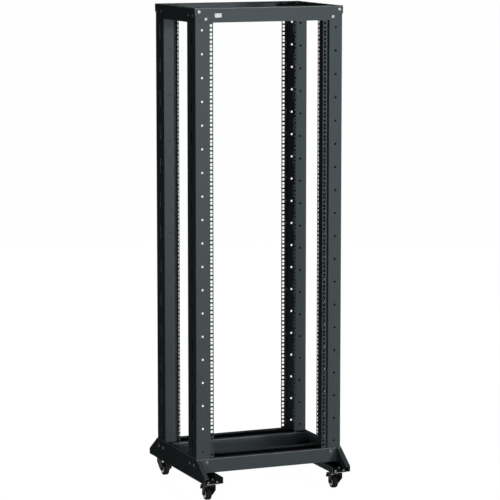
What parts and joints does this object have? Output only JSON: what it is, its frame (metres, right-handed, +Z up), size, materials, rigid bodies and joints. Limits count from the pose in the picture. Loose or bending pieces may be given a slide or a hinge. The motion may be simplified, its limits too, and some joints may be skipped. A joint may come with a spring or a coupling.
{
  "type": "four post open frame rack",
  "caption": "Open frame equipment rack: folded steel posts with square hole rails, a beam frame on top, and a low base with sloped overhanging sides on braked swivel casters.",
  "frame": {"origin": "on the floor below the middle of the frame", "axes": "+Z up, -Y the front, +X to the right of a person who faces the front"},
  "size_m": [0.604, 0.598, 1.865],
  "materials": {
    "frame_paint": "satin powder coat, dark grey",
    "caster_steel": "bright zinc",
    "caster_black": "satin black",
    "caster_tyre": "matt",
    "caster_hub": "matt"
  },
  "bodies": {
    "frame": {"post_front_left": "frame_paint", "rail_front_left": "frame_paint", "post_front_right": "frame_paint", "rail_front_right": "frame_paint", "post_rear_left": "frame_paint", "rail_rear_left": "frame_paint", "post_rear_right": "frame_paint", "rail_rear_right": "frame_paint", "top_beam_front": "frame_paint", "top_beam_rear": "frame_paint", "top_beam_left": "frame_paint", "top_beam_right": "frame_paint", "base_side_left": "frame_paint", "base_side_right": "frame_paint", "base_trough_front": "frame_paint", "base_trough_rear": "frame_paint", "caster_plate_front_left": "caster_steel", "caster_plate_front_right": "caster_steel", "caster_plate_rear_left": "caster_steel", "caster_plate_rear_right": "caster_steel"},
    "fork_front_left": {"caster_fork_front_left": "caster_black", "caster_axle_front_left": "caster_steel"},
    "wheel_front_left": {"caster_tyre_front_left": "caster_tyre", "caster_hub_front_left": "caster_hub"},
    "pedal_front_left": {"brake_pedal_front_left": "caster_black"},
    "fork_front_right": {"caster_fork_front_right": "caster_black", "caster_axle_front_right": "caster_steel"},
    "wheel_front_right": {"caster_tyre_front_right": "caster_tyre", "caster_hub_front_right": "caster_hub"},
    "pedal_front_right": {"brake_pedal_front_right": "caster_black"},
    "fork_rear_left": {"caster_fork_rear_left": "caster_black", "caster_axle_rear_left": "caster_steel"},
    "wheel_rear_left": {"caster_tyre_rear_left": "caster_tyre", "caster_hub_rear_left": "caster_hub"},
    "pedal_rear_left": {"brake_pedal_rear_left": "caster_black"},
    "fork_rear_right": {"caster_fork_rear_right": "caster_black", "caster_axle_rear_right": "caster_steel"},
    "wheel_rear_right": {"caster_tyre_rear_right": "caster_tyre", "caster_hub_rear_right": "caster_hub"},
    "pedal_rear_right": {"brake_pedal_rear_right": "caster_black"}
  },
  "joints": [
    {"name": "caster_swivel_front_left", "type": "hinge", "parent": "frame", "child": "fork_front_left", "pos_m": [-0.2633, -0.262, 0.064], "axis": [0, 0, 1], "continuous": true},
    {"name": "wheel_spin_front_left", "type": "hinge", "parent": "fork_front_left", "child": "wheel_front_left", "pos_m": [-0.2633, -0.228, 0.025], "axis": [1, 0, 0], "continuous": true},
    {"name": "brake_pedal_front_left", "type": "hinge", "parent": "fork_front_left", "child": "pedal_front_left", "pos_m": [-0.2633, -0.23, 0.0595], "axis": [-1, 0, 0], "range_deg": [0, 10]},
    {"name": "caster_swivel_front_right", "type": "hinge", "parent": "frame", "child": "fork_front_right", "pos_m": [0.2633, -0.262, 0.064], "axis": [0, 0, 1], "continuous": true},
    {"name": "wheel_spin_front_right", "type": "hinge", "parent": "fork_front_right", "child": "wheel_front_right", "pos_m": [0.2633, -0.228, 0.025], "axis": [1, 0, 0], "continuous": true},
    {"name": "brake_pedal_front_right", "type": "hinge", "parent": "fork_front_right", "child": "pedal_front_right", "pos_m": [0.2633, -0.23, 0.0595], "axis": [-1, 0, 0], "range_deg": [0, 10]},
    {"name": "caster_swivel_rear_left", "type": "hinge", "parent": "frame", "child": "fork_rear_left", "pos_m": [-0.2633, 0.262, 0.064], "axis": [0, 0, 1], "continuous": true},
    {"name": "wheel_spin_rear_left", "type": "hinge", "parent": "fork_rear_left", "child": "wheel_rear_left", "pos_m": [-0.2633, 0.228, 0.025], "axis": [1, 0, 0], "continuous": true},
    {"name": "brake_pedal_rear_left", "type": "hinge", "parent": "fork_rear_left", "child": "pedal_rear_left", "pos_m": [-0.2633, 0.23, 0.0595], "axis": [1, 0, 0], "range_deg": [0, 10]},
    {"name": "caster_swivel_rear_right", "type": "hinge", "parent": "frame", "child": "fork_rear_right", "pos_m": [0.2633, 0.262, 0.064], "axis": [0, 0, 1], "continuous": true},
    {"name": "wheel_spin_rear_right", "type": "hinge", "parent": "fork_rear_right", "child": "wheel_rear_right", "pos_m": [0.2633, 0.228, 0.025], "axis": [1, 0, 0], "continuous": true},
    {"name": "brake_pedal_rear_right", "type": "hinge", "parent": "fork_rear_right", "child": "pedal_rear_right", "pos_m": [0.2633, 0.23, 0.0595], "axis": [1, 0, 0], "range_deg": [0, 10]}
  ]
}
